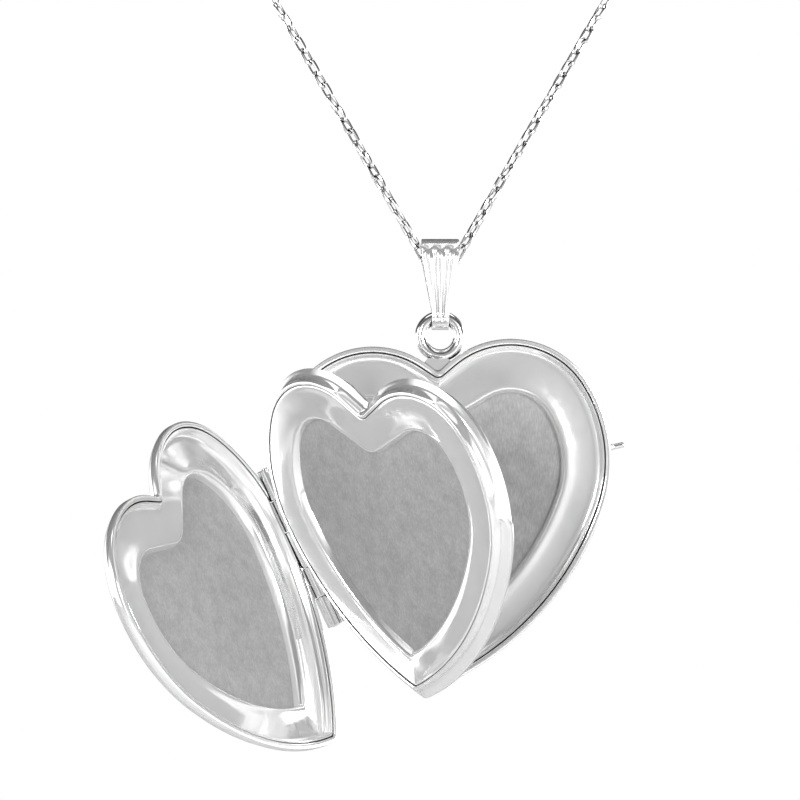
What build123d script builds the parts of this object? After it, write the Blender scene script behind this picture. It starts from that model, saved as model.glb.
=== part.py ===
from build123d import *
from math import acos, atan2, cos, degrees, radians, sin, sqrt
import os

# Four-picture heart locket on a cable chain, all sizes in millimetres.
# X is to the right, Y to the back, Z up. The origin is the middle of the bail's chain tunnel.
# The locket hangs open: the page and the front cover turn on one pin on the left flank.

# ---- heart outline: three tangent arcs on each side -------------------------------------
LOBE_X = 5.28  # centre of a lobe, from the middle of the heart
LOBE_Z = 3.51
LOBE_R = 7.0
SHOULDER_R = 11.12
FLANK_R = 23.2
LOBE_END = 30.0  # direction in which the lobe arc passes into the shoulder arc
SHOULDER_END = -22.3  # and the shoulder arc into the flank arc
NOTCH_Z = 8.2
NOTCH_SHARE = 1.0  # how far the notch sinks for each millimetre of inset
NOTCH_FILLET = 0.4
TIP_FILLET = 0.7

# ---- hanging parts ----------------------------------------------------------------------
RING_WIRE = 0.93
RING_R = 1.475  # to the middle of the wire
RING_Z = -5.92
RING_ABOVE_HEART = 11.03
HEART_OFFSET = -0.33  # the ring is soldered this far beside the heart's middle
LEAN = 3.3  # the open locket leans this many degrees to its right
TUNNEL_R = 1.25
BAIL_SHEET = 0.28
BAIL_TOP_W = 2.86
BAIL_LOW_W = 1.3
BAIL_STRAIGHT = 1.1  # height of the straight ends of the bail
LOOP_R = 0.72
TAB_OUTLINE = [(-1.25, 8.85), (-0.7, 9.4), (0.7, 9.4), (1.25, 8.85), (0.0, 7.7)]
TAB_THICK = 0.7

# ---- hinge ------------------------------------------------------------------------------
HINGE_TILT = 21.5  # the pin leans this many degrees from upright
HINGE_REACH = 12.12  # from the middle of the heart to the pin
HINGE_BACK = -0.9  # Y of the pin
PAGE_ANGLE = 53.3
COVER_ANGLE = 118.4
KNUCKLE_R = 0.6
PIN_R = 0.27
PIN_CLEARANCE = 0.03
KNUCKLE_GAP = 0.06
SEAT_CLEARANCE = 0.1
KNUCKLE_LENGTHS = [2.45, 2.5, 3.0, 2.4, 2.4]  # from the top: back, cover, page, cover, back
PIN_PROUD = 0.08
PIN_ROUND = 0.07
SADDLE_REACH = 2.6
SADDLE_DEPTH = 0.5
PAGE_SADDLE = 0.4

# ---- shells, page and picture frames, as insets from the outline and heights from the pin --
RIM_GAP = 0.05
FLANGE = 0.4
SHELL_WALL = 0.42
SHELL_STRAIGHT = 0.5
SHELL_CROWN = [(0.3, 0.98), (0.8, 1.38), (1.5, 1.78), (2.6, 2.12), (4.4, 2.25)]
CAVITY_STRAIGHT = 0.66
CAVITY_CROWN = [(0.86, 1.06), (1.6, 1.5), (2.6, 1.85), (4.4, 1.95)]
FRAME_FIT = 0.02
FRAME_OUT = SHELL_WALL + FRAME_FIT
FRAME_LIP = 0.3
FRAME_TOP = 0.1  # the frame's lip is this far below the rim
FRAME_STRAIGHT = 0.62
FRAME_FOOT = [(0.94, 1.02), (1.65, 1.34), (2.0, 1.45)]
FRAME_BAND = [(0.8, 0.5), (0.86, 0.74), (1.3, 0.78), (2.5, 0.72), (3.4, 0.62), (3.55, 0.66)]
OPENING_INSET = 3.8
OPENING_DROP = 0.3
CARD_THICK = 0.15
CARD_INSET = 2.5
PLUG_INSET = 0.9
PLUG_WALL = 0.28
PLUG_TOP = 0.95
PAGE_FRAME_BAND = [(1.6, 0.82), (2.4, 0.74), (3.4, 0.78), (3.58, 0.68)]
PAGE_FRAME_TOP = 0.88
PAGE_FRAME_LOW = 0.24
DIVIDER = 0.1
PAGE_CARD_LOW = 0.07
PAGE_CARD_INSET = 1.3

# ---- catch pin --------------------------------------------------------------------------
CATCH_R = 0.2
CATCH_OUT = 1.05
CATCH_AT = 1.5  # where it stands on the shoulder arc, in degrees
CATCH_TURN = 9.0  # and which way it points
CATCH_HEIGHT = -0.6
CATCH_BLOB_R = 0.34
CATCH_BLOB = 0.3
CATCH_ROUND = 0.08

# ---- chain and its ends -----------------------------------------------------------------
CHAIN_D = 0.84
CHAIN_LOW = 0.85  # half the level stretch inside the bail
CHAIN_LOW_Z = -0.65
CHAIN_END = (14.2, 22.34)
CHAIN_BEND_SHARE = 0.45
END_RING_R = 0.9
END_RING_WIRE = 0.4
END_GAP = 0.05
TAG_RING_R = 1.5
CLASP_R = 2.2
CLASP_TUBE_R = 0.55
CLASP_BORE_R = 0.4
CLASP_EYE_R = 0.5
CLASP_EYE_WIRE = 0.34
CLASP_GAP = (20, 60)  # degrees round the clasp from its far side
BOLT_R = 0.32
BOLT_NOSE = 14
BOLT_TAIL = 150
LEVER_AT = 76
LEVER_R = 0.18
LEVER_OUT = 1.3
SLOT = (70, 126)
SPRING_FROM = 202
SPRING_STEP = 9
SPRING_TURNS = 9
SPRING_POINTS = 8
SPRING_R = 0.25
SPRING_WIRE_R = 0.06

os.makedirs("parts", exist_ok=True)


def direction(angle):
    """Unit vector at an angle in degrees, counted from local X towards local Y."""
    return Vector(cos(radians(angle)), sin(radians(angle)))


def heart(plane, inset=0.0, drop=0.0):
    """Heart-shaped face on a plane, inset from the outline and dropped towards the tip."""
    lobe = Vector(LOBE_X, LOBE_Z - drop)
    shoulder = lobe - direction(LOBE_END) * (SHOULDER_R - LOBE_R)
    flank = shoulder - direction(SHOULDER_END) * (FLANK_R - SHOULDER_R)
    notch = Vector(0, NOTCH_Z - drop - NOTCH_SHARE * inset)
    to_notch = notch - lobe
    lobe_r = LOBE_R - inset
    half_view = degrees(acos(lobe_r / to_notch.length))
    start = degrees(atan2(to_notch.Y, to_notch.X)) - half_view
    flank_r = FLANK_R - inset
    tip = Vector(0, flank.Y - sqrt(flank_r**2 - flank.X**2))
    to_tip = tip - flank
    tip_angle = degrees(atan2(to_tip.Y, to_tip.X))
    with BuildSketch(plane) as sketch:
        with BuildLine():
            Line(notch, lobe + direction(start) * lobe_r)
            CenterArc(lobe, lobe_r, start, LOBE_END - start)
            CenterArc(shoulder, SHOULDER_R - inset, LOBE_END, SHOULDER_END - LOBE_END)
            CenterArc(flank, flank_r, SHOULDER_END, tip_angle - SHOULDER_END)
            mirror(about=Plane.YZ)
        make_face()
        middle = sketch.vertices().filter_by_position(Axis.X, -0.001, 0.001)
        fillet(middle.sort_by(Axis.Y)[-1], NOTCH_FILLET)
        middle = sketch.vertices().filter_by_position(Axis.X, -0.001, 0.001)
        fillet(middle.sort_by(Axis.Y)[0], TIP_FILLET)
    return sketch.sketch


def turned_plane(plane, angle):
    """The same plane with its X turned towards its Y by an angle in degrees."""
    x_dir = plane.x_dir * cos(radians(angle)) + plane.y_dir * sin(radians(angle))
    return Plane(origin=plane.origin, x_dir=x_dir, z_dir=plane.z_dir)


# ---- where things are -------------------------------------------------------------------
ring_plane = Plane(origin=(0, 0, RING_Z), x_dir=(1, 0, 0), z_dir=(0, -1, 0))
leaning = turned_plane(ring_plane, LEAN)
heart_middle = leaning.from_local_coords(Vector(HEART_OFFSET, -RING_ABOVE_HEART, -HINGE_BACK))
heart_plane = Plane(origin=heart_middle, x_dir=leaning.x_dir, z_dir=(0, -1, 0))
hinge_out = Vector(-cos(radians(HINGE_TILT)), -sin(radians(HINGE_TILT)))
hinge_down = Vector(sin(radians(HINGE_TILT)), -cos(radians(HINGE_TILT)))
hinge_middle = heart_plane.from_local_coords(hinge_out * HINGE_REACH)
hinge_dir = heart_plane.from_local_coords(hinge_down) - heart_middle
hinge_inward = heart_middle - heart_plane.from_local_coords(hinge_out)
hinge_length = sum(KNUCKLE_LENGTHS) + KNUCKLE_GAP * (len(KNUCKLE_LENGTHS) - 1)


def hinge_plane(angle, along=0.0):
    """Plane across the pin: X points from the pin into a page that is opened by the angle."""
    middle = hinge_middle + hinge_dir * along
    return turned_plane(Plane(origin=middle, x_dir=hinge_inward, z_dir=hinge_dir), angle)


def page_plane(angle, height):
    """The heart's plane, a height in front of the pin when closed, opened by the angle."""
    closed = Plane(
        origin=heart_plane.from_local_coords(Vector(0, 0, height)),
        x_dir=heart_plane.x_dir,
        z_dir=heart_plane.z_dir,
    )
    turned = hinge_plane(angle).location * hinge_plane(0).location.inverse()
    return Plane(turned * closed.location)


def knuckle_start(index):
    """Distance along the pin from the hinge's middle to the top of a knuckle."""
    return -hinge_length / 2 + sum(KNUCKLE_LENGTHS[:index]) + KNUCKLE_GAP * index


def heart_block(angle, low, high, inset=0.0):
    """Plain heart-shaped block between two heights."""
    return extrude(heart(page_plane(angle, low), inset), amount=high - low)


def hinge_seat():
    """Round bar along the whole hinge that leaves room for the knuckles."""
    seat = Cylinder(KNUCKLE_R + SEAT_CLEARANCE, hinge_length + 2 * SEAT_CLEARANCE)
    return Plane(origin=hinge_middle, x_dir=hinge_inward, z_dir=hinge_dir).location * seat


def crown(angle, side, start, inset, levels):
    """Stack of tapering heart sections from a straight wall's foot to its crown."""
    sections = [heart(page_plane(angle, side * start), inset)]
    for level_inset, height in levels:
        sections.append(heart(page_plane(angle, side * (height + rim_height)), level_inset))
    return sections


rim_height = FLANGE / 2 + RIM_GAP
frame_bottom = rim_height + FRAME_FOOT[-1][1]
shell_foot = rim_height + SHELL_STRAIGHT
cavity_foot = rim_height + CAVITY_STRAIGHT
seat = hinge_seat()


def shell(angle, side):
    """Domed half of the locket; side is -1 for the back and +1 for the front cover."""
    with BuildPart() as outer:
        add(heart_block(angle, side * rim_height, side * shell_foot))
        loft(crown(angle, side, shell_foot, 0.0, SHELL_CROWN), ruled=True)
        add(heart_block(angle, side * rim_height, side * cavity_foot, SHELL_WALL), mode=Mode.SUBTRACT)
        loft(crown(angle, side, cavity_foot, SHELL_WALL, CAVITY_CROWN), ruled=True, mode=Mode.SUBTRACT)
        add(seat, mode=Mode.SUBTRACT)
    return outer.part


def opening_cut(angle, side, levels, low):
    """Funnel-shaped hollow of a picture frame, ending in the heart opening."""
    sections = [heart(page_plane(angle, side * height), inset) for inset, height in levels]
    sections.append(heart(page_plane(angle, side * low), OPENING_INSET, OPENING_DROP))
    return sections


def shell_frame(angle, side):
    """Picture frame with an upturned lip, pressed into a shell."""
    top = rim_height + FRAME_TOP
    foot = rim_height + FRAME_STRAIGHT
    levels = [(FRAME_OUT + FRAME_LIP, top)]
    for inset, depth in FRAME_BAND:
        levels.append((inset, rim_height + depth))
    with BuildPart() as frame:
        add(heart_block(angle, side * top, side * foot, FRAME_OUT + FRAME_FIT))
        loft(crown(angle, side, foot, FRAME_OUT + FRAME_FIT, FRAME_FOOT), ruled=True)
        loft(opening_cut(angle, side, levels, frame_bottom), ruled=True, mode=Mode.SUBTRACT)
        add(seat, mode=Mode.SUBTRACT)
    return frame.part


def card(angle, side, near, inset):
    """Paper heart behind a frame."""
    with BuildPart() as paper:
        add(heart_block(angle, side * near, side * (near + CARD_THICK), inset))
    return paper.part


def export(part, label):
    """Label a finished piece and write it."""
    part.label = label
    export_step(part, f"parts/{label}.step")


def page_band(side):
    """Pressed half of the page: a flange with a raised wall that fits inside a shell."""
    inner = PLUG_INSET + PLUG_WALL
    with BuildPart() as band:
        add(heart_block(PAGE_ANGLE, 0, side * FLANGE / 2))
        add(heart_block(PAGE_ANGLE, side * FLANGE / 2, side * PLUG_TOP, PLUG_INSET))
        add(heart_block(PAGE_ANGLE, 0, side * PLUG_TOP, inner), mode=Mode.SUBTRACT)
        add(seat, mode=Mode.SUBTRACT)
    return band.part


def page_frame(side):
    """Picture frame inside one half of the page."""
    levels = [(PLUG_INSET + PLUG_WALL + FRAME_LIP, PAGE_FRAME_TOP), *PAGE_FRAME_BAND]
    inner = PLUG_INSET + PLUG_WALL + FRAME_FIT
    with BuildPart() as frame:
        add(heart_block(PAGE_ANGLE, side * PAGE_FRAME_LOW, side * PAGE_FRAME_TOP, inner))
        cut = opening_cut(PAGE_ANGLE, side, levels, PAGE_FRAME_LOW)
        loft(cut, ruled=True, mode=Mode.SUBTRACT)
    return frame.part


def knuckles(indices, angle, saddle, neighbours, bore_r):
    """Hinge tubes of one body with saddles, given as (middle, thickness), that join its rim."""
    saddle_middle, saddle_thick = saddle
    with BuildPart() as tubes:
        for index in indices:
            with BuildSketch(hinge_plane(angle, knuckle_start(index))):
                Circle(KNUCKLE_R)
                with Locations((SADDLE_REACH / 2, saddle_middle)):
                    Rectangle(SADDLE_REACH, saddle_thick)
            extrude(amount=KNUCKLE_LENGTHS[index])
        for neighbour in neighbours:
            add(neighbour, mode=Mode.SUBTRACT)
        with BuildSketch(hinge_plane(angle, -hinge_length / 2)):
            Circle(bore_r)
        extrude(amount=hinge_length, mode=Mode.SUBTRACT)
    return tubes.part


# ---- back shell and front cover ----------------------------------------------------------
shell_parts = {}
for name, angle, side in (("back", 0.0, -1), ("cover", COVER_ANGLE, 1)):
    shell_parts[name] = [shell(angle, side), shell_frame(angle, side)]
    export(shell_parts[name][0], f"{name}_shell")
    export(shell_parts[name][1], f"{name}_frame")
    export(card(angle, side, frame_bottom, CARD_INSET), f"{name}_card")

# ---- the page between them ----------------------------------------------------------------
page_parts = [page_band(1), page_band(-1)]
export(page_parts[0], "page_front_band")
export(page_parts[1], "page_back_band")
export(page_frame(1), "page_front_frame")
export(page_frame(-1), "page_back_frame")
export(card(PAGE_ANGLE, 1, PAGE_CARD_LOW, PAGE_CARD_INSET), "page_front_card")
export(card(PAGE_ANGLE, -1, PAGE_CARD_LOW, PAGE_CARD_INSET), "page_back_card")
divider = heart_block(PAGE_ANGLE, -DIVIDER / 2, DIVIDER / 2, PLUG_INSET + PLUG_WALL + FRAME_FIT)
export(divider, "page_divider")

# ---- hinge: five knuckles on one pin ------------------------------------------------------
inside_back = heart_block(0.0, -cavity_foot, -rim_height, SHELL_WALL)
inside_cover = heart_block(COVER_ANGLE, rim_height, cavity_foot, SHELL_WALL)
inside_page = heart_block(PAGE_ANGLE, -PLUG_TOP, PLUG_TOP, PLUG_INSET)
running_r = PIN_R + PIN_CLEARANCE
back_neighbours = [*shell_parts["back"], inside_back]
cover_neighbours = [*shell_parts["cover"], inside_cover]
page_neighbours = [*page_parts, inside_page]
saddle_height = rim_height + SADDLE_DEPTH / 2
back_saddle = (-saddle_height, SADDLE_DEPTH)
cover_saddle = (saddle_height, SADDLE_DEPTH)
page_saddle = (0.0, PAGE_SADDLE)
export(knuckles([0, 4], 0.0, back_saddle, back_neighbours, PIN_R), "back_knuckles")
export(knuckles([1, 3], COVER_ANGLE, cover_saddle, cover_neighbours, running_r), "cover_knuckles")
export(knuckles([2], PAGE_ANGLE, page_saddle, page_neighbours, running_r), "page_knuckle")

with BuildPart() as hinge_pin:
    with BuildSketch(hinge_plane(0.0, -hinge_length / 2 - PIN_PROUD)):
        Circle(PIN_R)
    extrude(amount=hinge_length + 2 * PIN_PROUD)
    fillet(hinge_pin.edges(), PIN_ROUND)
export(hinge_pin.part, "hinge_pin")

# ---- catch pin on the right of the back shell --------------------------------------------
shoulder_middle = Vector(LOBE_X, LOBE_Z) - direction(LOBE_END) * (SHOULDER_R - LOBE_R)
catch_plane = page_plane(0.0, CATCH_HEIGHT)
catch_foot = catch_plane.from_local_coords(
    shoulder_middle + direction(CATCH_AT) * (SHOULDER_R - CATCH_BLOB_R)
)
catch_dir = catch_plane.from_local_coords(direction(CATCH_TURN)) - catch_plane.origin
on_foot = (Align.CENTER, Align.CENTER, Align.MIN)
with BuildPart() as catch_pin:
    with Locations(Plane(origin=catch_foot, z_dir=catch_dir)):
        Cylinder(CATCH_R, CATCH_OUT + CATCH_BLOB_R, align=on_foot)
        fillet(catch_pin.faces().sort_by(Axis.X)[-1].edges(), CATCH_ROUND)
        Cone(CATCH_BLOB_R, CATCH_R, CATCH_BLOB + CATCH_BLOB_R, align=on_foot)
    add(shell_parts["back"][0], mode=Mode.SUBTRACT)
export(catch_pin.part, "catch_pin")

# ---- hanging ring and the tab in the notch ------------------------------------------------
with BuildPart(ring_plane) as hanging_ring:
    Torus(RING_R, RING_WIRE / 2)
export(hanging_ring.part, "hanging_ring")

with BuildPart() as notch_tab:
    with BuildSketch(page_plane(0.0, HINGE_BACK - TAB_THICK / 2)):
        with BuildLine():
            Polyline(*TAB_OUTLINE, close=True)
        make_face()
    extrude(amount=TAB_THICK)
    add(heart_block(0.0, -shell_foot - TAB_THICK, -rim_height), mode=Mode.SUBTRACT)
    add(hanging_ring.part, mode=Mode.SUBTRACT)
export(notch_tab.part, "notch_tab")

# ---- bail: a folded strip round the chain and the ring ------------------------------------
loop_z = RING_Z + RING_R
with BuildPart() as bail:
    with BuildSketch(Plane.YZ):
        Circle(TUNNEL_R + BAIL_SHEET)
        with Locations((0, loop_z)):
            Circle(LOOP_R + BAIL_SHEET)
        make_hull()
        with BuildSketch(mode=Mode.PRIVATE) as hollow:
            Circle(TUNNEL_R)
            with Locations((0, loop_z)):
                Circle(LOOP_R)
            make_hull()
        add(hollow.sketch, mode=Mode.SUBTRACT)
    extrude(amount=BAIL_TOP_W / 2, both=True)
    with BuildSketch(Plane.XZ):
        with BuildLine():
            Polyline(
                (BAIL_TOP_W / 2, TUNNEL_R + 2 * BAIL_SHEET),
                (BAIL_TOP_W / 2, TUNNEL_R - BAIL_STRAIGHT),
                (BAIL_LOW_W / 2, loop_z + BAIL_STRAIGHT / 2),
                (BAIL_LOW_W / 2, loop_z - BAIL_STRAIGHT),
                (0, loop_z - BAIL_STRAIGHT),
            )
            mirror(about=Plane.YZ)
            Line(
                (-BAIL_TOP_W / 2, TUNNEL_R + 2 * BAIL_SHEET),
                (BAIL_TOP_W / 2, TUNNEL_R + 2 * BAIL_SHEET),
            )
        make_face()
    extrude(amount=2 * TUNNEL_R, both=True, mode=Mode.INTERSECT)
export(bail.part, "bail")

# ---- chain: the outer shape of its links, taut on both sides of the bail ------------------
end_x, end_z = CHAIN_END
rise = degrees(atan2(end_z - CHAIN_LOW_Z, end_x - CHAIN_LOW))
bend_r = CHAIN_BEND_SHARE * 2 * CHAIN_LOW / sin(radians(rise)) * (1 + cos(radians(rise)))
with BuildPart() as chain:
    with BuildLine(Plane.XZ) as route:
        FilletPolyline(
            (-end_x, end_z),
            (-CHAIN_LOW, CHAIN_LOW_Z),
            (CHAIN_LOW, CHAIN_LOW_Z),
            (end_x, end_z),
            radius=bend_r,
        )
    with BuildSketch(Plane(origin=route.line @ 0, z_dir=route.line % 0)):
        Circle(CHAIN_D / 2)
    sweep(path=route.wires()[0])
export(chain.part, "chain")


# ---- chain ends: a plain ring on the left, a spring ring clasp on the right ----------------
def strand_end(side, along, turned=False):
    """Plane beyond a strand's end with X along the strand; turned, it stands across it."""
    strand = Vector(side * cos(radians(rise)), 0, sin(radians(rise)))
    origin = Vector(side * end_x, 0, end_z) + strand * along
    across = Vector(0, -1, 0)
    return Plane(origin=origin, x_dir=strand, z_dir=across.cross(strand) if turned else across)


tag_middle = END_GAP + END_RING_WIRE / 2 + TAG_RING_R
with BuildPart(strand_end(-1, tag_middle)) as tag_ring:
    Torus(TAG_RING_R, END_RING_WIRE / 2)
export(tag_ring.part, "tag_ring")

clasp_ring_middle = END_GAP + END_RING_WIRE / 2 + END_RING_R
with BuildPart(strand_end(1, clasp_ring_middle)) as clasp_ring:
    Torus(END_RING_R, END_RING_WIRE / 2)
export(clasp_ring.part, "clasp_ring")

eye_middle = clasp_ring_middle + END_RING_R
clasp_middle = eye_middle + CLASP_EYE_R + CLASP_TUBE_R + CLASP_R
clasp_plane = strand_end(1, clasp_middle)


def across_bar(angle):
    """Plane across the clasp's round bar at an angle in degrees."""
    turned = turned_plane(clasp_plane, angle)
    middle = turned.from_local_coords((CLASP_R, 0, 0))
    return Plane(origin=middle, x_dir=turned.x_dir, z_dir=turned.y_dir)


def arc_bar(radius, start, end, bore=0.0):
    """Round bar or tube bent round the clasp's middle, between two angles in degrees."""
    with BuildSketch(across_bar(start)) as ring:
        Circle(radius)
        if bore:
            Circle(bore, mode=Mode.SUBTRACT)
    turn_axis = Axis(clasp_plane.origin, clasp_plane.z_dir)
    return revolve(ring.sketch, axis=turn_axis, revolution_arc=end - start)


def coil_point(turn):
    """Point of the spring's wire after a number of turns."""
    section = across_bar(SPRING_FROM + turn * SPRING_STEP)
    return section.from_local_coords(direction(360 * turn) * SPRING_R)


with BuildPart() as clasp_body:
    add(arc_bar(CLASP_TUBE_R, CLASP_GAP[1], CLASP_GAP[0] + 360, CLASP_BORE_R))
    with Locations(strand_end(1, eye_middle, turned=True)):
        Torus(CLASP_EYE_R, CLASP_EYE_WIRE / 2)
    add(arc_bar(CLASP_BORE_R, CLASP_GAP[1], CLASP_GAP[0] + 360), mode=Mode.SUBTRACT)
    with BuildSketch(clasp_plane.offset(-LEVER_R - PIN_CLEARANCE)):
        with BuildLine():
            outer = CLASP_R + 2 * CLASP_TUBE_R
            CenterArc((0, 0), CLASP_R, SLOT[0], SLOT[1] - SLOT[0])
            CenterArc((0, 0), outer, SLOT[0], SLOT[1] - SLOT[0])
            Line(direction(SLOT[0]) * CLASP_R, direction(SLOT[0]) * outer)
            Line(direction(SLOT[1]) * CLASP_R, direction(SLOT[1]) * outer)
        make_face()
    extrude(amount=2 * (LEVER_R + PIN_CLEARANCE), mode=Mode.SUBTRACT)
export(clasp_body.part, "clasp_body")

lever_dir = clasp_plane.from_local_coords(direction(LEVER_AT)) - clasp_plane.origin
with BuildPart() as clasp_bolt:
    add(arc_bar(BOLT_R, BOLT_NOSE, BOLT_TAIL))
    with BuildSketch(Plane(origin=clasp_plane.origin + lever_dir * CLASP_R, z_dir=lever_dir)):
        Circle(LEVER_R)
    extrude(amount=LEVER_OUT)
export(clasp_bolt.part, "clasp_bolt")

with BuildPart() as clasp_spring:
    with BuildLine() as coil:
        steps = range(SPRING_TURNS * SPRING_POINTS + 1)
        Spline([coil_point(step / SPRING_POINTS) for step in steps])
    with BuildSketch(Plane(origin=coil.line @ 0, z_dir=coil.line % 0)):
        Circle(SPRING_WIRE_R)
    sweep(path=coil.line, is_frenet=True)
export(clasp_spring.part, "clasp_spring")
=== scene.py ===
import random
from math import acos, asin, atan2, cos, degrees, pi, radians, sin, sqrt, tan

import bmesh
import bpy
from mathutils import Matrix, Vector, noise


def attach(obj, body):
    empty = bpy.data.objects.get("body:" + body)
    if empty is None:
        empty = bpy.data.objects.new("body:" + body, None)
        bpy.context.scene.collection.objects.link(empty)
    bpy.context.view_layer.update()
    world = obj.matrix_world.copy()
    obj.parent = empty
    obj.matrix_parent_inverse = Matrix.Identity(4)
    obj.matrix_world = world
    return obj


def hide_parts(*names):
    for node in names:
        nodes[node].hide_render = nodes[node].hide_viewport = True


# Four-picture heart locket in polished silver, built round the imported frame.
# Sizes in this file are millimetres and degrees; MM turns them into the frame's metres.
MM = 0.001

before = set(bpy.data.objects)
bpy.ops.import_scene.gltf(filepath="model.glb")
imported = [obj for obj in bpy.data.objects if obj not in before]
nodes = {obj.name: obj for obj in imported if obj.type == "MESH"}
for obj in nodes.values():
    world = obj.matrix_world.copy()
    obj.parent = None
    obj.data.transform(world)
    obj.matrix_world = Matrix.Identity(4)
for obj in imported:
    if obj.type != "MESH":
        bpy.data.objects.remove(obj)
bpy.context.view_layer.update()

# ---- sizes repeated from the part ---------------------------------------------------------
LOBE = Vector((5.28, 3.51))
LOBE_R = 7.0
SHOULDER_R = 11.12
FLANK_R = 23.2
LOBE_END = 30.0
SHOULDER_END = -22.3
NOTCH_Y = 8.2
NOTCH_SHARE = 1.0
RING_Z = -5.92
RING_R = 1.475
RING_WIRE_R = 0.465
RING_ABOVE_HEART = 11.03
HEART_OFFSET = -0.33
LEAN = 3.3
HINGE_TILT = 21.5
HINGE_REACH = 12.12
PIN_Y = -0.9
PAGE_ANGLE = 53.3
COVER_ANGLE = 118.4
SEAT_R = 0.7
KNUCKLE_LENGTHS = [2.45, 2.5, 3.0, 2.4, 2.4]
KNUCKLE_GAP = 0.06
RIM = 0.25  # the rims of the two shells are this far from the pin's plane
TUNNEL_R = 1.25
BAIL_SHEET = 0.28
BAIL_TOP_W = 2.86
BAIL_LOW_W = 1.3
LOOP_R = 0.72
CHAIN_ROUTE = [(-14.2, 22.34), (-0.85, -0.65), (0.85, -0.65), (14.2, 22.34)]

# ---- where things are ---------------------------------------------------------------------
X_DIR = Vector((cos(radians(LEAN)), 0, sin(radians(LEAN))))
Y_DIR = Vector((-sin(radians(LEAN)), 0, cos(radians(LEAN))))
FRONT = Vector((0, -1, 0))
HEART = Vector((0, PIN_Y, RING_Z)) + X_DIR * HEART_OFFSET - Y_DIR * RING_ABOVE_HEART
PIN_OUT = -X_DIR * cos(radians(HINGE_TILT)) - Y_DIR * sin(radians(HINGE_TILT))
PIN_DIR = X_DIR * sin(radians(HINGE_TILT)) - Y_DIR * cos(radians(HINGE_TILT))
PIN = HEART + PIN_OUT * HINGE_REACH
HINGE_LENGTH = sum(KNUCKLE_LENGTHS) + KNUCKLE_GAP * (len(KNUCKLE_LENGTHS) - 1)


def leaf_matrix(angle):
    """Places a point (x, y, height in front of the pin's plane) on a leaf opened by an angle."""
    closed = Matrix((X_DIR, Y_DIR, FRONT)).transposed().to_4x4()
    closed.translation = HEART
    turn = Matrix.Translation(PIN) @ Matrix.Rotation(radians(angle), 4, PIN_DIR)
    return Matrix.Scale(MM, 4) @ turn @ Matrix.Translation(-PIN) @ closed


# ---- heart outline ------------------------------------------------------------------------
NOTCH_R = 0.4
NOTCH_R_GROWTH = 0.35  # of the inset
TIP_R = 0.7
TIP_R_LOSS = 0.12  # of the inset
TIP_R_LEAST = 0.25
NOTCH_STEPS = 4
LINE_STEPS = 4
LOBE_STEPS = 24
SHOULDER_STEPS = 12
FLANK_STEPS = 20
TIP_STEPS = 5


def arc(centre, radius, start, end, steps):
    """Points on an arc, without its last one."""
    angles = [radians(start + (end - start) * i / steps) for i in range(steps)]
    return [centre + Vector((cos(a), sin(a))) * radius for a in angles]


def heart_points(inset=0.0, drop=0.0, fine=1):
    """Outline of the heart from the notch down the right side and up the left, as 2-D points."""
    notch_r = NOTCH_R + NOTCH_R_GROWTH * inset
    tip_r = max(TIP_R_LEAST, TIP_R - TIP_R_LOSS * inset)
    shift = Vector((0, -drop))
    lobe = LOBE + shift
    shoulder = lobe - Vector((cos(radians(LOBE_END)), sin(radians(LOBE_END)))) * (SHOULDER_R - LOBE_R)
    turn = radians(SHOULDER_END)
    flank = shoulder - Vector((cos(turn), sin(turn))) * (FLANK_R - SHOULDER_R)
    notch = Vector((0, NOTCH_Y - NOTCH_SHARE * inset)) + shift
    lobe_r = LOBE_R - inset
    to_notch = notch - lobe
    start = degrees(atan2(to_notch.y, to_notch.x)) - degrees(acos(lobe_r / to_notch.length))
    tangent = lobe + Vector((cos(radians(start)), sin(radians(start)))) * lobe_r
    line = (tangent - notch).normalized()
    slope = atan2(line.x, line.y)
    round_top = Vector((0, notch.y + notch_r / sin(slope)))
    flank_r = FLANK_R - inset
    tip_middle = Vector((0, flank.y - sqrt((flank_r - tip_r) ** 2 - flank.x ** 2)))
    down = tip_middle - flank
    tip_angle = degrees(atan2(down.y, down.x))
    half = arc(round_top, notch_r, -90, -90 + degrees(pi / 2 - slope), NOTCH_STEPS * fine)
    foot = notch + line * (notch_r / tan(slope))
    line_steps = LINE_STEPS * fine
    half += [foot.lerp(tangent, i / line_steps) for i in range(line_steps)]
    half += arc(lobe, lobe_r, start, LOBE_END, LOBE_STEPS * fine)
    half += arc(shoulder, SHOULDER_R - inset, LOBE_END, SHOULDER_END, SHOULDER_STEPS * fine)
    half += arc(flank, flank_r, SHOULDER_END, tip_angle, FLANK_STEPS * fine)
    half += arc(tip_middle, tip_r, tip_angle, -90, TIP_STEPS * fine)
    half.append(tip_middle + Vector((0, -tip_r)))
    return half + [Vector((-p.x, p.y)) for p in reversed(half[1:-1])]


# ---- mesh helpers -------------------------------------------------------------------------
CREASE = 35  # edges sharper than this stay sharp
MERGE_DISTANCE = 1e-7  # metres
SEAT_STEPS = 48
SEAT_PLAY = 0.2


def mesh_object(name, verts, faces):
    """New smooth-shaded mesh object with its creases kept sharp."""
    mesh = bpy.data.meshes.new(name)
    mesh.from_pydata([tuple(v) for v in verts], [], faces)
    shape = bmesh.new()
    shape.from_mesh(mesh)
    bmesh.ops.remove_doubles(shape, verts=shape.verts, dist=MERGE_DISTANCE)
    bmesh.ops.recalc_face_normals(shape, faces=shape.faces)
    shape.to_mesh(mesh)
    shape.free()
    mesh.shade_smooth()
    mesh.set_sharp_from_angle(angle=radians(CREASE))
    made = bpy.data.objects.new(name, mesh)
    bpy.context.scene.collection.objects.link(made)
    return made


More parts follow.
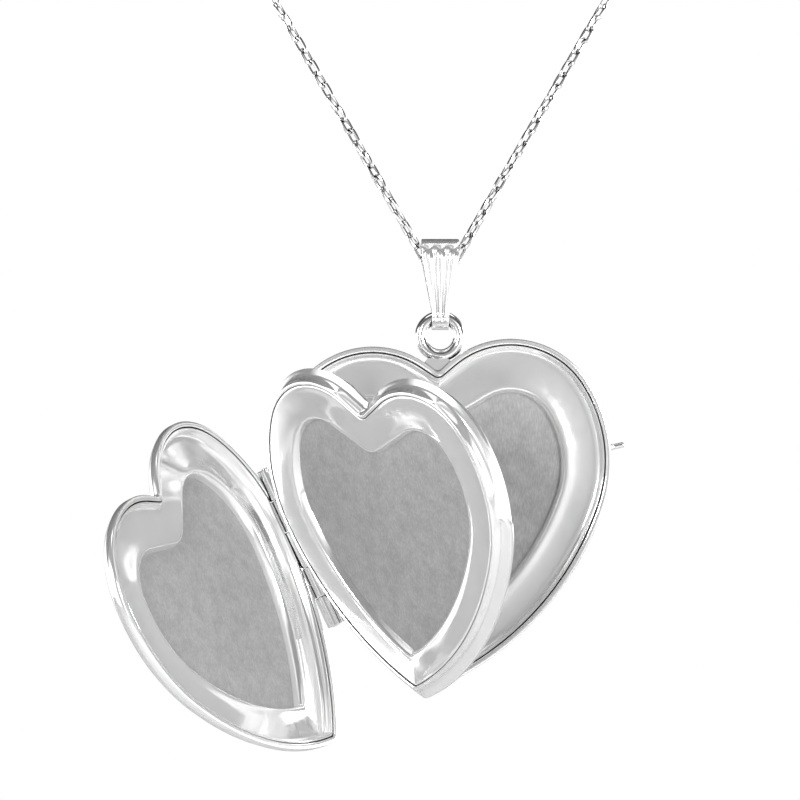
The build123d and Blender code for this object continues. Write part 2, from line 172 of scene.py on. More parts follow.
def loft_faces(count, rings, closed):
    """Quads between rings of equal count; closed also joins the last ring to the first."""
    faces = []
    last = rings if closed else rings - 1
    for r in range(last):
        for i in range(count):
            j = (i + 1) % count
            s = (r + 1) % rings
            faces.append((r * count + i, r * count + j, s * count + j, s * count + i))
    return faces


def loft(name, rings, closed=False):
    """Skin through rings of points; open ends are capped."""
    count = len(rings[0])
    verts = [p for ring in rings for p in ring]
    faces = loft_faces(count, len(rings), closed)
    if not closed:
        faces.append(tuple(reversed(range(count))))
        faces.append(tuple(range(len(verts) - count, len(verts))))
    return mesh_object(name, verts, faces)


def cut_seat(piece):
    """Takes the round seat of the hinge out of a piece."""
    bpy.ops.mesh.primitive_cylinder_add(
        vertices=SEAT_STEPS, radius=SEAT_R * MM, depth=(HINGE_LENGTH + SEAT_PLAY) * MM, location=PIN * MM
    )
    cutter = bpy.context.object
    cutter.rotation_mode = "QUATERNION"
    cutter.rotation_quaternion = PIN_DIR.to_track_quat("Z", "Y")
    cut = piece.modifiers.new("seat", "BOOLEAN")
    cut.object = cutter
    cut.solver = "EXACT"
    bpy.context.view_layer.update()
    graph = bpy.context.evaluated_depsgraph_get()
    mesh = bpy.data.meshes.new_from_object(piece.evaluated_get(graph))
    piece.modifiers.clear()
    piece.data = mesh
    bpy.data.objects.remove(cutter)
    mesh.set_sharp_from_angle(angle=radians(CREASE))


def finish_piece(piece, body, slot, material, *replaced):
    """Material and body of a new piece, and the CAD nodes that it stands for; the slot is not used."""
    piece.data.materials.clear()
    piece.data.materials.append(material)
    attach(piece, body)
    if replaced:
        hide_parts(*replaced)


# ---- camera -------------------------------------------------------------------------------
CAMERA_DISTANCE = 240
VIEW_WIDTH = 60.9
CAMERA_YAW = 2.2
CAMERA_PITCH = -0.4
SENSOR_WIDTH = 36
CLIP_NEAR = 0.01  # metres
CLIP_FAR = 10  # metres
AIM = (-3.4, 6.12)  # middle of the view from the middle of the heart, to the right and up


def make_camera():
    """Long lens nearly square to the back's rim."""
    data = bpy.data.cameras.new("camera")
    data.sensor_width = SENSOR_WIDTH
    data.lens = SENSOR_WIDTH * CAMERA_DISTANCE / VIEW_WIDTH
    data.clip_start = CLIP_NEAR
    data.clip_end = CLIP_FAR
    camera = bpy.data.objects.new("camera", data)
    bpy.context.scene.collection.objects.link(camera)
    turn = Matrix.Rotation(radians(CAMERA_PITCH), 3, "X") @ Matrix.Rotation(radians(CAMERA_YAW), 3, "Z")
    back = turn.transposed()
    eye = back @ Vector((0, -CAMERA_DISTANCE, 0))
    target = back @ Vector((AIM[0], 0, AIM[1]))
    camera.location = (HEART + eye) * MM
    camera.rotation_mode = "QUATERNION"
    camera.rotation_quaternion = (target - eye).to_track_quat("-Z", "Y")
    bpy.context.scene.camera = camera


# ---- materials ----------------------------------------------------------------------------
def new_material(name):
    """Material with its node tree, shader and object coordinates."""
    material = bpy.data.materials.new(name)
    material.use_nodes = True
    tree = material.node_tree
    shader = tree.nodes["Principled BSDF"]
    place = tree.nodes.new("ShaderNodeTexCoord")
    return material, tree, shader, place.outputs["Object"]


def noise_node(tree, place, scale, detail=4.0, roughness=0.5):
    """Noise texture on object coordinates."""
    node = tree.nodes.new("ShaderNodeTexNoise")
    node.inputs["Scale"].default_value = scale
    node.inputs["Detail"].default_value = detail
    node.inputs["Roughness"].default_value = roughness
    tree.links.new(place, node.inputs["Vector"])
    return node


def ramp_node(tree, source, low, high, colour_low, colour_high):
    """Colour ramp between two places of a factor."""
    node = tree.nodes.new("ShaderNodeValToRGB")
    node.color_ramp.elements[0].position = low
    node.color_ramp.elements[1].position = high
    node.color_ramp.elements[0].color = (*colour_low, 1)
    node.color_ramp.elements[1].color = (*colour_high, 1)
    tree.links.new(source, node.inputs["Fac"])
    return node


def grey(value):
    """Neutral colour."""
    return (value, value, value)


def brightness(tree, source, stops):
    """Grey ramp through a list of (place, brightness)."""
    node = ramp_node(tree, source, stops[0][0], stops[-1][0], grey(stops[0][1]), grey(stops[-1][1]))
    for place, value in stops[1:-1]:
        element = node.color_ramp.elements.new(place)
        element.color = (*grey(value), 1)
    return node.outputs["Color"]


def calculate(tree, operation, first, second):
    """Math node; its inputs are sockets or numbers."""
    node = tree.nodes.new("ShaderNodeMath")
    node.operation = operation
    for socket, value in zip(node.inputs, (first, second)):
        if isinstance(value, (int, float)):
            socket.default_value = value
        else:
            tree.links.new(value, socket)
    return node.outputs["Value"]


def blend(tree, mode, factor, first, second):
    """Mix node for colours."""
    node = tree.nodes.new("ShaderNodeMix")
    node.data_type = "RGBA"
    node.blend_type = mode
    if isinstance(factor, (int, float)):
        node.inputs["Factor"].default_value = factor
    else:
        tree.links.new(factor, node.inputs["Factor"])
    tree.links.new(first, node.inputs["A"])
    tree.links.new(second, node.inputs["B"])
    return node.outputs["Result"]


def mapping_node(tree, place, scale, turn):
    """Coordinates stretched and turned, for a pattern with a grain."""
    node = tree.nodes.new("ShaderNodeMapping")
    node.inputs["Scale"].default_value = scale
    node.inputs["Rotation"].default_value = turn
    tree.links.new(place, node.inputs["Vector"])
    return node.outputs["Vector"]


def bump_node(tree, height, strength, distance):
    """Bump from a height, with its depth in metres."""
    node = tree.nodes.new("ShaderNodeBump")
    node.inputs["Strength"].default_value = strength
    node.inputs["Distance"].default_value = distance
    tree.links.new(height, node.inputs["Height"])
    return node


WHITE = (1, 1, 1, 1)
CREVICE_SHADE_REACH = 0.35  # reach of the painted shade in narrow corners
CREVICE_SHADE_SHARES = (0.42, 0.72)  # openness of a corner that is fully shaded, and that is free of painted shade
# colour of the painted shade in the most closed corners
CREVICE_SHADE_TONE = 0.03
CLOUD_SHARES = (0.3, 0.7)
TINT_SCALE = 450
TINT_LOSS = 0.97
HAZE_SCALE = 1400
HAZE_SHARES = (0.3, 0.75)
HAIR_SCALE = 14000
HAIR_STRETCH = (1, 1, 0.06)
HAIR_TURN = (0.4, 0.9, 0.3)
HAIR_STRENGTH = 0.05
HAIR_DEPTH = 0.00002  # metres
WAVE_SCALE = 330
WAVE_DEPTH = 0.0001  # metres


def silver(name, tone=0.93, rough=(0.05, 0.13), wave=0.25, metal=1.0):
    """Polished silver: slight waviness of pressed sheet, hairline scratches, a little haze and painted
    shade in narrow corners.
    """
    material, tree, shader, place = new_material(name)
    shader.inputs["Metallic"].default_value = metal
    tint = noise_node(tree, place, TINT_SCALE, 3)
    colour = ramp_node(tree, tint.outputs["Fac"], *CLOUD_SHARES, grey(tone * TINT_LOSS), grey(tone))
    # painted shade: an occlusion test darkens the base colour nearly to black in narrow corners and gaps
    # between parts, standing in for the dark shade lines at the rims
    hollow = tree.nodes.new("ShaderNodeAmbientOcclusion")
    hollow.inputs["Distance"].default_value = CREVICE_SHADE_REACH * MM
    painted_shade = ramp_node(tree, hollow.outputs["AO"], *CREVICE_SHADE_SHARES, grey(CREVICE_SHADE_TONE), grey(1.0))
    shaded_colour = blend(tree, "MULTIPLY", 1.0, colour.outputs["Color"], painted_shade.outputs["Color"])
    tree.links.new(shaded_colour, shader.inputs["Base Color"])
    haze = noise_node(tree, place, HAZE_SCALE, 5, 0.6)
    dull = tree.nodes.new("ShaderNodeMapRange")
    dull.inputs["From Min"].default_value = HAZE_SHARES[0]
    dull.inputs["From Max"].default_value = HAZE_SHARES[1]
    dull.inputs["To Min"].default_value = rough[0]
    dull.inputs["To Max"].default_value = rough[1]
    tree.links.new(haze.outputs["Fac"], dull.inputs["Value"])
    tree.links.new(dull.outputs["Result"], shader.inputs["Roughness"])
    hair = noise_node(tree, mapping_node(tree, place, HAIR_STRETCH, HAIR_TURN), HAIR_SCALE, 2)
    sheet = noise_node(tree, place, WAVE_SCALE, 2)
    fine = bump_node(tree, hair.outputs["Fac"], HAIR_STRENGTH, HAIR_DEPTH)
    broad = bump_node(tree, sheet.outputs["Fac"], wave, WAVE_DEPTH)
    tree.links.new(fine.outputs["Normal"], broad.inputs["Normal"])
    tree.links.new(broad.outputs["Normal"], shader.inputs["Normal"])
    return material


PAPER_ROUGHNESS = 0.95
PAPER_SHINE = 0.15
PAPER_TONES = (0.34, 0.42)
PAPER_SCALE = 900
FIBRE_SCALE = 9000
FIBRE_STRETCH = (1, 1, 0.25)
FIBRE_TURN = (0, 0.7, 0)
FIBRE_SHARES = (0.42, 0.72)
FIBRE_TONES = (0.86, 1.1)
FIBRE_STRENGTH = 0.4
FIBRE_DEPTH = 0.00003  # metres


def paper():
    """Matt grey card with pressed fibres and small flecks."""
    material, tree, shader, place = new_material("paper")
    shader.inputs["Roughness"].default_value = PAPER_ROUGHNESS
    shader.inputs["Specular IOR Level"].default_value = PAPER_SHINE
    cloud = noise_node(tree, place, PAPER_SCALE, 6, 0.65)
    base = ramp_node(tree, cloud.outputs["Fac"], *CLOUD_SHARES, *map(grey, PAPER_TONES))
    fibre = noise_node(tree, mapping_node(tree, place, FIBRE_STRETCH, FIBRE_TURN), FIBRE_SCALE, 3, 0.7)
    fleck = ramp_node(tree, fibre.outputs["Fac"], *FIBRE_SHARES, *map(grey, FIBRE_TONES))
    mix = blend(tree, "MULTIPLY", 1.0, base.outputs["Color"], fleck.outputs["Color"])
    tree.links.new(mix, shader.inputs["Base Color"])
    bump = bump_node(tree, fibre.outputs["Fac"], FIBRE_STRENGTH, FIBRE_DEPTH)
    tree.links.new(bump.outputs["Normal"], shader.inputs["Normal"])
    return material


SHEET_SILVER = silver("silver_sheet", metal=0.72)  # soft polish: part of the light is scattered
WIRE_SILVER = silver("silver_wire", wave=0.1, metal=0.92)
CHAIN_SILVER = silver("silver_chain", rough=(0.08, 0.16), wave=0.1)
SPRING_STEEL = silver("spring_steel", tone=0.6, rough=(0.2, 0.35), wave=0.1)
PAPER = paper()


# ---- chain --------------------------------------------------------------------------------
LINK_PITCH = 1.02
LINK_LENGTH = 1.52
LINK_WIDTH = 0.9
LINK_WIRE_R = 0.135
LINK_STEPS = 28
WIRE_STEPS = 10
LINK_END_SHARE = 3  # the larger, the shorter the round ends of a link
ROUTE_FINE = 64
CHAIN_SEED = 7
LINK_ROLL = 45
LINK_ROLL_SPREAD = 9


def route_points():
    """The chain's centre line, read from a smooth curve through its route."""
    curve = bpy.data.curves.new("chain_route", "CURVE")
    curve.dimensions = "3D"
    curve.resolution_u = ROUTE_FINE
    spline = curve.splines.new("NURBS")
    spline.points.add(len(CHAIN_ROUTE) + 1)
    first, low_left, low_right, last = [Vector((x, 0, z)) for x, z in CHAIN_ROUTE]
    reach = (low_right - low_left).length
    points = [
        first,
        low_left + (first - low_left).normalized() * reach,
        low_left,
        low_right,
        low_right + (last - low_right).normalized() * reach,
        last,
    ]
    for point, place in zip(spline.points, points):
        point.co = (*(place * MM), 1)
    spline.order_u = 3
    spline.use_endpoint_u = True
    holder = bpy.data.objects.new("chain_route", curve)
    bpy.context.scene.collection.objects.link(holder)
    bpy.context.view_layer.update()
    graph = bpy.context.evaluated_depsgraph_get()
    line = bpy.data.meshes.new_from_object(holder.evaluated_get(graph))
    found = [v.co.copy() for v in line.vertices]
    bpy.data.objects.remove(holder)
    bpy.data.meshes.remove(line)
    return found


def walk(line, distance):
    """Point and direction at a distance along a line of points."""
    for a, b in zip(line, line[1:]):
        step = (b - a).length
        if distance <= step and step > 0:
            return a.lerp(b, distance / step), (b - a).normalized()
        distance -= step
    return line[-1], (line[-1] - line[-2]).normalized()


def link_rings(middle, along, roll):
    """Rings of wire round one oval link."""
    side = FRONT.cross(along).normalized()
    side = Matrix.Rotation(roll, 3, along) @ side
    out = along.cross(side)
    straight = (LINK_LENGTH - LINK_WIDTH) / 2
    radius = LINK_WIDTH / 2 - LINK_WIRE_R
    rings = []
    for i in range(LINK_STEPS):
        a = 2 * pi * i / LINK_STEPS
        bow = Vector((cos(a), sin(a)))
        push = straight * (1 if bow.x > 0 else -1) * min(1, abs(bow.x) * LINK_END_SHARE)
        centre = middle + (along * (bow.x * radius + push) + side * bow.y * radius) * MM
        outward = (along * bow.x + side * bow.y).normalized()
        ring = []
        for k in range(WIRE_STEPS):
            b = 2 * pi * k / WIRE_STEPS
            ring.append(centre + (outward * cos(b) + out * sin(b)) * LINK_WIRE_R * MM)
        rings.append(ring)
    return rings


def make_chain():
    """Cable chain of separate oval links along the route."""
    line = route_points()
    total = sum((b - a).length for a, b in zip(line, line[1:]))
    count = round((total / MM - LINK_LENGTH) / LINK_PITCH) + 1
    pitch = (total / MM - LINK_LENGTH) / (count - 1)
    chance = random.Random(CHAIN_SEED)
    verts = []
    faces = []
    for n in range(count):
        middle, along = walk(line, (LINK_LENGTH / 2 + n * pitch) * MM)
        loose = chance.uniform(-LINK_ROLL_SPREAD, LINK_ROLL_SPREAD)
        roll = radians(LINK_ROLL + 90 * (n % 2) + loose)
        rings = link_rings(middle, along, roll)
        start = len(verts)
        verts += [p for ring in rings for p in ring]
        faces += [tuple(start + v for v in f) for f in loft_faces(WIRE_STEPS, len(rings), True)]
    chain = mesh_object("cable_chain", verts, faces)
    finish_piece(chain, "chain", "chain_links", CHAIN_SILVER, "chain")


make_camera()
make_chain()


# ---- shells, frames and page ----------------------------------------------------------------
OPENING_DROP = 0.3
OPENING_INSET = 3.8
DROP_FROM = 2.2  # inset from which the outlines move towards the tip
FINE = 2  # times the least number of points round a heart
HEART_CENTRE = Vector((0, -1.2))
CAP_SHARES = (0.85, 0.68, 0.5, 0.3, 0.12, 0.02)
CAVITY_RISE = 0.05
CROWN_RISE = 0.1


def smooth(value):
    """Soft step from 0 to 1."""
    value = min(1, max(0, value))
    return value * value * (3 - 2 * value)


def drop_at(inset):
    """How far an outline at an inset is moved towards the tip."""
    return OPENING_DROP * smooth((inset - DROP_FROM) / (OPENING_INSET - DROP_FROM))


def profile_rings(matrix, side, base, profile, upper=None):
    """Heart rings for a profile of (inset, depth); another profile may take over higher up."""
    rings = []
    for (inset, depth), (upper_inset, upper_depth) in zip(profile, upper or profile):
        ring = []
        low_line = heart_points(inset, drop_at(inset), FINE)
        high_line = heart_points(upper_inset, drop_at(upper_inset), FINE)
        for low, high in zip(low_line, high_line):
            share = smooth((low.y - BOW_FROM) / BOW_OVER)
            p = low.lerp(high, share)
            height = base + depth + (upper_depth - depth) * share
            ring.append(matrix @ Vector((p.x, p.y, side * height)))
        rings.append(ring)
    return rings


def cap_rings(matrix, side, inset, depth, rise):
    """Rings that shrink a shell's outline to its middle, over a gentle crown."""
    ring = heart_points(inset, 0, FINE)
    rings = []
    for share in CAP_SHARES:
        height = side * (RIM + depth + rise * (1 - share ** 2))
        rings.append([matrix @ Vector((*HEART_CENTRE.lerp(p, share), height)) for p in ring])
    return rings


# profiles across the walls: (inset from the heart's edge, depth from the rim or the page's middle)
SHELL_RIM = [
    (0.42, 0.5), (0.42, 0.07), (0.4, 0.025), (0.36, 0.0), (0.08, 0.0), (0.03, 0.02), (0.0, 0.07),
    (0.0, 0.5),
]
CAVITY = [(4.4, 1.95), (2.6, 1.85), (1.6, 1.5), (0.86, 1.06), (0.42, 0.66)]
CROWN = [
    (0.05, 0.59), (0.15, 0.75), (0.31, 0.98), (0.54, 1.17), (0.8, 1.37), (1.12, 1.57), (1.5, 1.76),
    (1.98, 1.94), (2.6, 2.09), (3.4, 2.2), (4.4, 2.27),
]


def make_shell(name, body, angle, side):
    """Pressed shell with a rolled rim and a domed back."""
    matrix = leaf_matrix(angle)
    inner_cap = cap_rings(matrix, side, *CAVITY[0], CAVITY_RISE)
    rings = list(reversed(inner_cap))
    for inset, depth in CAVITY + SHELL_RIM + CROWN:
        ring = heart_points(inset, 0, FINE)
        rings.append([matrix @ Vector((p.x, p.y, side * (RIM + depth))) for p in ring])
    rings += cap_rings(matrix, side, *CROWN[-1], CROWN_RISE)
    shell = loft(name, rings)
    cut_seat(shell)
    finish_piece(shell, body, "silver", SHEET_SILVER, f"{body}_shell")


SHELL_FRAME = [
    (1.9, 1.45), (1.6, 1.34), (0.94, 1.02), (0.47, 0.62), (0.46, 0.2), (0.48, 0.14), (0.53, 0.1),
    (0.6, 0.1), (0.66, 0.14), (0.71, 0.26), (0.75, 0.45), (0.79, 0.63), (0.87, 0.73), (1.04, 0.775),
    (1.3, 0.785), (1.7, 0.775), (2.1, 0.76), (2.5, 0.735), (2.85, 0.695), (3.12, 0.65), (3.3, 0.63),
    (3.42, 0.625), (3.5, 0.64), (3.56, 0.69), (3.62, 0.8), (3.69, 0.98), (3.75, 1.2), (3.8, 1.45),
]
PAGE_BAND = [
    (1.18, 0.0), (1.18, 0.9), (1.15, 0.94), (1.09, 0.955), (0.99, 0.955), (0.93, 0.94), (0.9, 0.9),
    (0.9, 0.3), (0.88, 0.23), (0.82, 0.2), (0.08, 0.2), (0.02, 0.17), (0.0, 0.1), (0.0, 0.0),
]
# above the end of the flat flange the band's side is bowed instead
PAGE_BOW = [
    (1.18, 0.0), (1.18, 0.9), (1.15, 0.94), (1.09, 0.955), (1.0, 0.955), (0.94, 0.93), (0.9, 0.86),
    (0.87, 0.72), (0.83, 0.56), (0.77, 0.42), (0.7, 0.3), (0.6, 0.21), (0.42, 0.13), (0.2, 0.0),
]
BOW_FROM = 0.3  # height on the heart
BOW_OVER = 0.25  # height over which the flat side turns into the bow
PAGE_FRAME = [
    (1.2, 0.24), (1.2, 0.8), (1.23, 0.85), (1.29, 0.88), (1.38, 0.88), (1.48, 0.87), (1.62, 0.84),
    (1.95, 0.795), (2.4, 0.76), (2.85, 0.745), (3.12, 0.75), (3.28, 0.77), (3.4, 0.785), (3.47, 0.785),
    (3.54, 0.75), (3.62, 0.64), (3.7, 0.48), (3.76, 0.34), (3.8, 0.24),
]


def make_ring_piece(name, body, angle, side, base, profile, replaced, upper=None):
    """Closed heart-shaped band with a given profile."""
    rings = profile_rings(leaf_matrix(angle), side, base, profile, upper)
    piece = loft(name, rings, closed=True)
    cut_seat(piece)
    finish_piece(piece, body, "silver", SHEET_SILVER, replaced)


make_shell("back_shell_skin", "back", 0.0, -1)
make_shell("cover_shell_skin", "cover", COVER_ANGLE, 1)
make_ring_piece("back_frame_skin", "back", 0.0, -1, RIM, SHELL_FRAME, "back_frame")
make_ring_piece("cover_frame_skin", "cover", COVER_ANGLE, 1, RIM, SHELL_FRAME, "cover_frame")
for face, side in (("front", 1), ("back", -1)):
    for part, profile, upper in (("band", PAGE_BAND, PAGE_BOW), ("frame", PAGE_FRAME, None)):
        node = f"page_{face}_{part}"
        make_ring_piece(f"{node}_skin", "page", PAGE_ANGLE, side, 0.0, profile, node, upper)

# ---- cards --------------------------------------------------------------------------------
CARD_EDGE = 3.55
CARD_THICK = 0.16
CARD_DEPTH = 1.45  # of the shells' cards behind the rim
PAGE_CARD_HEIGHT = 0.07  # of the page's cards over its middle
CARD_FINE = 3
# (share of the way from the middle to the edge, depth)
CARD_PROFILE = [
    (0.02, 0.0), (0.5, 0.0), (0.97, 0.0), (1.0, 0.02), (1.0, CARD_THICK), (0.5, CARD_THICK),
    (0.02, CARD_THICK),
]
NOISE_RANGE = 50
CUT_SCALE = 1.7
CUT_DEPTH = 0.14
TORN_SCALE = 7
TORN_DEPTH = 0.05
EDGE_LOSS = 0.02


def make_card(name, body, angle, side, near, seed):
    """Hand-cut paper heart that lies just behind its frame's opening."""
    matrix = leaf_matrix(angle)
    chance = random.Random(seed)
    shift = Vector((chance.uniform(0, NOISE_RANGE), chance.uniform(0, NOISE_RANGE), 0))
    outline = []
    for p in heart_points(CARD_EDGE, OPENING_DROP, CARD_FINE):
        place = Vector((p.x, p.y, 0))
        cut = noise.noise(place * CUT_SCALE + shift) * CUT_DEPTH
        torn = noise.noise(place * TORN_SCALE + shift) * TORN_DEPTH
        outline.append(p * (1 + (cut + torn - EDGE_LOSS) / max(p.length, 1)))
    rings = []
    for share, depth in CARD_PROFILE:
        rings.append([matrix @ Vector((*(p * share), side * (near + depth))) for p in outline])
    card = loft(name, rings)
    finish_piece(card, body, "paper", PAPER, name.replace("_paper", "_card"))


make_card("back_paper", "back", 0.0, -1, RIM + CARD_DEPTH, 3)
make_card("cover_paper", "cover", COVER_ANGLE, 1, RIM + CARD_DEPTH, 5)
make_card("page_front_paper", "page", PAGE_ANGLE, 1, PAGE_CARD_HEIGHT, 8)
make_card("page_back_paper", "page", PAGE_ANGLE, -1, PAGE_CARD_HEIGHT, 13)

# ---- hanging ring -------------------------------------------------------------------------
RING_STEPS = 96
RING_WIRE_STEPS = 28


def torus(name, middle, axis, radius, wire_r):
    """Round ring of round wire."""
    first = axis.orthogonal().normalized()
    second = axis.cross(first)
    rings = []
    for i in range(RING_STEPS):
        a = 2 * pi * i / RING_STEPS
        out = first * cos(a) + second * sin(a)
        centre = middle + out * radius
        ring = []
        for k in range(RING_WIRE_STEPS):
            b = 2 * pi * k / RING_WIRE_STEPS
            ring.append((centre + (out * cos(b) + axis * sin(b)) * wire_r) * MM)
        rings.append(ring)
    return loft(name, rings, closed=True)


ring = torus("hanging_ring_wire", Vector((0, 0, RING_Z)), FRONT, RING_R, RING_WIRE_R)
finish_piece(ring, "back", "silver", WIRE_SILVER, "hanging_ring")

# ---- bail ---------------------------------------------------------------------------------
FLUTES = 3
FLUTE_DEPTH = 0.2
FLUTE_TOP = 0.25  # below the top of the chain's tunnel
FLUTE_TOP_RUN = 0.7
FLUTE_LOW = 0.3  # below the middle of the low loop
FLUTE_LOW_RUN = 0.5
FLUTE_SHARE = 0.97  # of the half width that has flutes
EDGE_SHARE = 0.07  # of the half width that is rounded
EDGE_ROUND = 0.05
FRONT_LIMIT = -0.2  # a direction with a lower y faces the front
TAPER_LOW = 0.55  # over the middle of the low loop
TAPER_TOP = 0.15  # over the tunnel's axis
BAIL_TOP_STEPS = 28
BAIL_SIDE_STEPS = 24
BAIL_LOW_STEPS = 16
BAIL_ACROSS = 48


def make_bail():
    """Folded strip with three flutes down its front leaf."""
    loop_z = RING_Z + RING_R
    top_r = TUNNEL_R + BAIL_SHEET
    low_r = LOOP_R + BAIL_SHEET
    lean = asin((top_r - low_r) / -loop_z)
    # path round the closed section: (outward direction, middle that it is measured from, radius)
    path = []
    for i in range(BAIL_TOP_STEPS + 1):
        a = -lean + (pi + 2 * lean) * i / BAIL_TOP_STEPS
        path.append((Vector((0, cos(a), sin(a))), Vector((0, 0, 0)), top_r))
    front_dir = path[-1][0]
    for i in range(1, BAIL_SIDE_STEPS):
        t = i / BAIL_SIDE_STEPS
        path.append((front_dir, Vector((0, 0, loop_z * t)), top_r + (low_r - top_r) * t))
    for i in range(BAIL_LOW_STEPS + 1):
        a = pi + lean + (pi - 2 * lean) * i / BAIL_LOW_STEPS
        path.append((Vector((0, cos(a), sin(a))), Vector((0, 0, loop_z)), low_r))
    back_dir = path[0][0]
    for i in range(1, BAIL_SIDE_STEPS):
        t = 1 - i / BAIL_SIDE_STEPS
        path.append((back_dir, Vector((0, 0, loop_z * t)), top_r + (low_r - top_r) * t))
    rings = []
    for out, middle, radius in path:
        z = (middle + out * radius).z
        share = min(1, max(0, (z - (loop_z + TAPER_LOW)) / (TAPER_TOP - loop_z - TAPER_LOW)))
        half = (BAIL_LOW_W + (BAIL_TOP_W - BAIL_LOW_W) * share) / 2
        front = out.y < FRONT_LIMIT
        depth = FLUTE_DEPTH * smooth((TUNNEL_R - FLUTE_TOP - z) / FLUTE_TOP_RUN) if front else 0
        depth *= smooth((z - loop_z + FLUTE_LOW) / FLUTE_LOW_RUN)
        outer = []
        inner = []
        for k in range(BAIL_ACROSS + 1):
            u = -1 + 2 * k / BAIL_ACROSS
            groove = depth * (0.5 - 0.5 * cos(pi * (u + 1) * FLUTES)) if abs(u) < FLUTE_SHARE else 0
            edge = EDGE_ROUND * max(0, (abs(u) - (1 - EDGE_SHARE)) / EDGE_SHARE) ** 2
            x = Vector((u * half, 0, 0))
            outer.append((middle + out * (radius - depth + groove - edge) + x) * MM)
            inner.append((middle + out * (radius - BAIL_SHEET) + x) * MM)
        rings.append(outer + list(reversed(inner)))
    return loft("fluted_bail", rings, closed=True)


bail = make_bail()
finish_piece(bail, "bail", "silver", SHEET_SILVER, "bail")

# ---- hinge knuckles -----------------------------------------------------------------------
TUBE_R = 0.62
PLATE_LOW = 0.21
PLATE_TOP = 0.3
PLATE_REACH = 0.8
TUBE_STEPS = 40
END_ROUND = 0.06
END_SCALE = 0.93  # of the section at a tube's very end
PIN_IN_HEART = Vector((-cos(radians(HINGE_TILT)), -sin(radians(HINGE_TILT)))) * HINGE_REACH
INWARD = Vector((cos(radians(HINGE_TILT)), sin(radians(HINGE_TILT))))
ALONG = Vector((sin(radians(HINGE_TILT)), -cos(radians(HINGE_TILT))))


def knuckle_outline(side):
    """Outline across the pin, as (distance from the pin, height); side 0 has no plate."""
    if not side:
        angles = [2 * pi * i / TUBE_STEPS for i in range(TUBE_STEPS)]
        return [(cos(a) * TUBE_R, sin(a) * TUBE_R) for a in angles]
    start = asin(PLATE_TOP / TUBE_R)
    end = 2 * pi + asin(PLATE_LOW / TUBE_R)
    angles = [start + (end - start) * i / TUBE_STEPS for i in range(TUBE_STEPS + 1)]
    outline = [(cos(a) * TUBE_R, side * sin(a) * TUBE_R) for a in angles]
    return outline + [(PLATE_REACH, side * PLATE_LOW), (PLATE_REACH, side * PLATE_TOP)]


def make_knuckles(name, body, angle, side, indices, replaced):
    """Rolled tubes round the pin, each with the plate that it is rolled from."""
    matrix = leaf_matrix(angle)
    outline = knuckle_outline(side)
    verts = []
    faces = []
    for index in indices:
        top = -HINGE_LENGTH / 2 + sum(KNUCKLE_LENGTHS[:index]) + KNUCKLE_GAP * index
        length = KNUCKLE_LENGTHS[index]
        start = len(verts)
        sections = [(0, END_SCALE), (END_ROUND, 1), (length - END_ROUND, 1), (length, END_SCALE)]
        for along, scale in sections:
            for out, height in outline:
                flat = PIN_IN_HEART + INWARD * out * scale + ALONG * (top + along)
                verts.append(matrix @ Vector((*flat, height * scale)))
        count = len(outline)
        last = start + (len(sections) - 1) * count
        faces += [tuple(start + v for v in f) for f in loft_faces(count, len(sections), False)]
        faces.append(tuple(start + v for v in reversed(range(count))))
        faces.append(tuple(last + v for v in range(count)))
    piece = mesh_object(name, verts, faces)
    finish_piece(piece, body, "silver", WIRE_SILVER, replaced)


make_knuckles("back_hinge_tubes", "back", 0.0, -1, (0, 4), "back_knuckles")
make_knuckles("cover_hinge_tubes", "cover", COVER_ANGLE, 1, (1, 3), "cover_knuckles")
make_knuckles("page_hinge_tube", "page", PAGE_ANGLE, 0, (2,), "page_knuckle")

# ---- CAD nodes that stay ------------------------------------------------------------------
KEPT = {
    SHEET_SILVER: ("notch_tab", "page_divider"),
    WIRE_SILVER: ("hinge_pin", "catch_pin", "tag_ring", "clasp_ring", "clasp_body", "clasp_bolt"),
    SPRING_STEEL: ("clasp_spring",),
}
for material, names in KEPT.items():
    for name in names:
        nodes[name].data.materials.clear()
        nodes[name].data.materials.append(material)


# ---- room: floor, light and surroundings ---------------------------------------------------
FLOOR_Z = -80
FLOOR_SIZE = 420
FLOOR_TONE = 0.95
FLOOR_ROUGHNESS = 0.9


def make_floor():
    """Pale floor well below the hanging locket."""
    bpy.ops.mesh.primitive_plane_add(size=FLOOR_SIZE * MM, location=(0, 0, FLOOR_Z * MM))
    floor = bpy.context.object
    floor.name = "floor"
    material, _, shader, _ = new_material("floor")
    shader.inputs["Base Color"].default_value = (*grey(FLOOR_TONE), 1)
    shader.inputs["Roughness"].default_value = FLOOR_ROUGHNESS
    floor.data.materials.append(material)


# (place, brightness) of the surroundings, from behind over the left side, the camera's side and the
# right side to behind again; the low list is for level directions and below, the high one above them
ROUND_LOW = [
    (0.0, 0.2), (0.05, 0.25), (0.1, 1.0), (0.3, 1.0), (0.35, 0.1), (0.375, 0.1), (0.4, 0.7),
    (0.46, 0.24), (0.5, 0.12), (0.54, 0.28), (0.62, 1.0), (0.66, 0.2), (0.7, 1.0), (0.9, 1.0),
    (0.95, 0.25), (1.0, 0.2),
]
ROUND_HIGH = [
    (0.0, 0.01), (0.22, 0.01), (0.27, 1.0), (0.33, 1.0), (0.35, 0.02), (0.375, 0.02), (0.4, 0.6),
    (0.46, 0.22), (0.5, 0.1), (0.54, 0.25), (0.6, 0.9), (0.64, 0.01), (0.725, 0.01), (0.76, 1.0),
    (0.9, 1.0), (0.95, 0.02), (1.0, 0.01),
]
# (height, brightness) from straight below to straight above
UPWARDS = [
    (0.0, 0.5), (0.2, 0.85), (0.38, 1.0), (0.67, 1.0), (0.73, 0.05), (0.89, 0.04), (0.92, 1.0),
    (1.0, 1.0),
]
HIGH_SHARE = [(0.0, 0.0), (0.53, 0.0), (0.6, 1.0), (1.0, 1.0)]  # where ROUND_HIGH takes over
WORLD_STRENGTH = 2.2


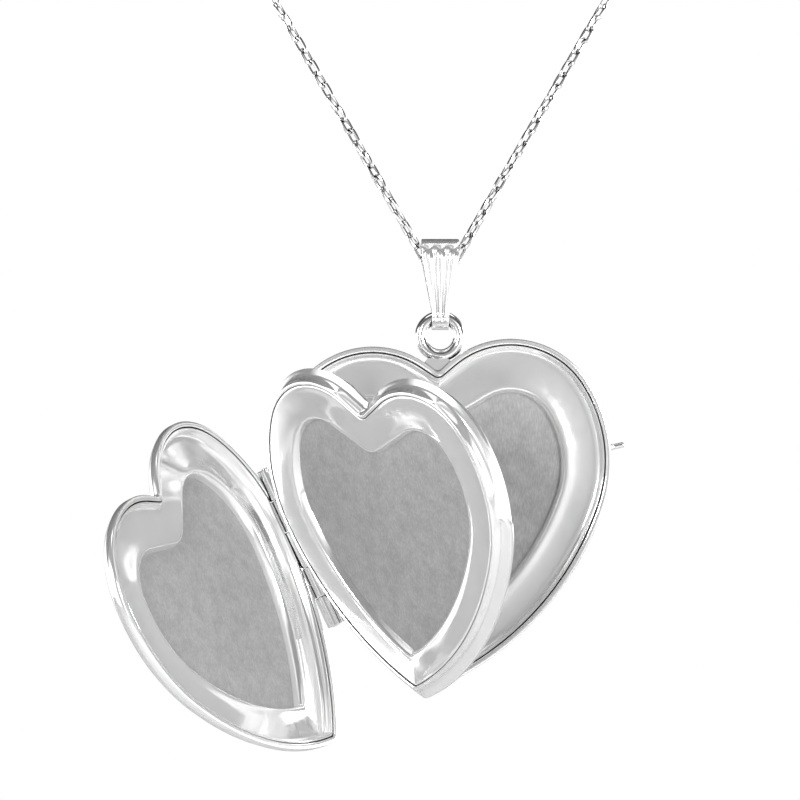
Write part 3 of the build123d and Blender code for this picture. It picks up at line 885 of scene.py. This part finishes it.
def make_world():
    """White light tent with dark gaps, which draw the dark lines in the polished silver."""
    world = bpy.data.worlds.new("tent")
    bpy.context.scene.world = world
    world.use_nodes = True
    tree = world.node_tree
    back = tree.nodes["Background"]
    place = tree.nodes.new("ShaderNodeTexCoord")
    split = tree.nodes.new("ShaderNodeSeparateXYZ")
    tree.links.new(place.outputs["Generated"], split.inputs["Vector"])
    towards = calculate(tree, "MULTIPLY", split.outputs["Y"], -1.0)
    angle = calculate(tree, "ARCTAN2", split.outputs["X"], towards)
    turn = calculate(tree, "ADD", calculate(tree, "DIVIDE", angle, 2 * pi), 0.5)
    height = calculate(tree, "ADD", calculate(tree, "MULTIPLY", split.outputs["Z"], 0.5), 0.5)
    low = brightness(tree, turn, ROUND_LOW)
    high = brightness(tree, turn, ROUND_HIGH)
    share = brightness(tree, height, HIGH_SHARE)
    around = blend(tree, "MIX", share, low, high)
    tent = blend(tree, "MULTIPLY", 1.0, around, brightness(tree, height, UPWARDS))
    tree.links.new(tent, back.inputs["Color"])
    back.inputs["Strength"].default_value = WORLD_STRENGTH
    seen = tree.nodes.new("ShaderNodeLightPath")
    white = tree.nodes.new("ShaderNodeBackground")
    white.inputs["Color"].default_value = WHITE
    mix = tree.nodes.new("ShaderNodeMixShader")
    tree.links.new(seen.outputs["Is Camera Ray"], mix.inputs["Fac"])
    tree.links.new(back.outputs["Background"], mix.inputs[1])
    tree.links.new(white.outputs["Background"], mix.inputs[2])
    tree.links.new(mix.outputs["Shader"], tree.nodes["World Output"].inputs["Surface"])


LIGHT_SIZE = 40
LIGHT_POWER = 0.17  # watts
LIGHT_DISTANCE = 200
LIGHT_RISE = 45
LIGHT_TURNS = {"light_left": -20, "light_right": 30}  # degrees to the right of straight in front


def make_light(name, turn):
    """Soft square light that shines in between the open leaves."""
    data = bpy.data.lights.new(name, "AREA")
    data.shape = "SQUARE"
    data.size = LIGHT_SIZE * MM
    data.energy = LIGHT_POWER
    light = bpy.data.objects.new(name, data)
    bpy.context.scene.collection.objects.link(light)
    place = Vector((sin(radians(turn)), -cos(radians(turn)), 0)) * LIGHT_DISTANCE
    place.z = LIGHT_RISE
    light.location = (PIN + place) * MM
    light.rotation_mode = "QUATERNION"
    light.rotation_quaternion = (-place).to_track_quat("-Z", "Y")


make_floor()
make_world()
for name, turn in LIGHT_TURNS.items():
    make_light(name, turn)
bpy.context.scene.view_settings.view_transform = "Standard"
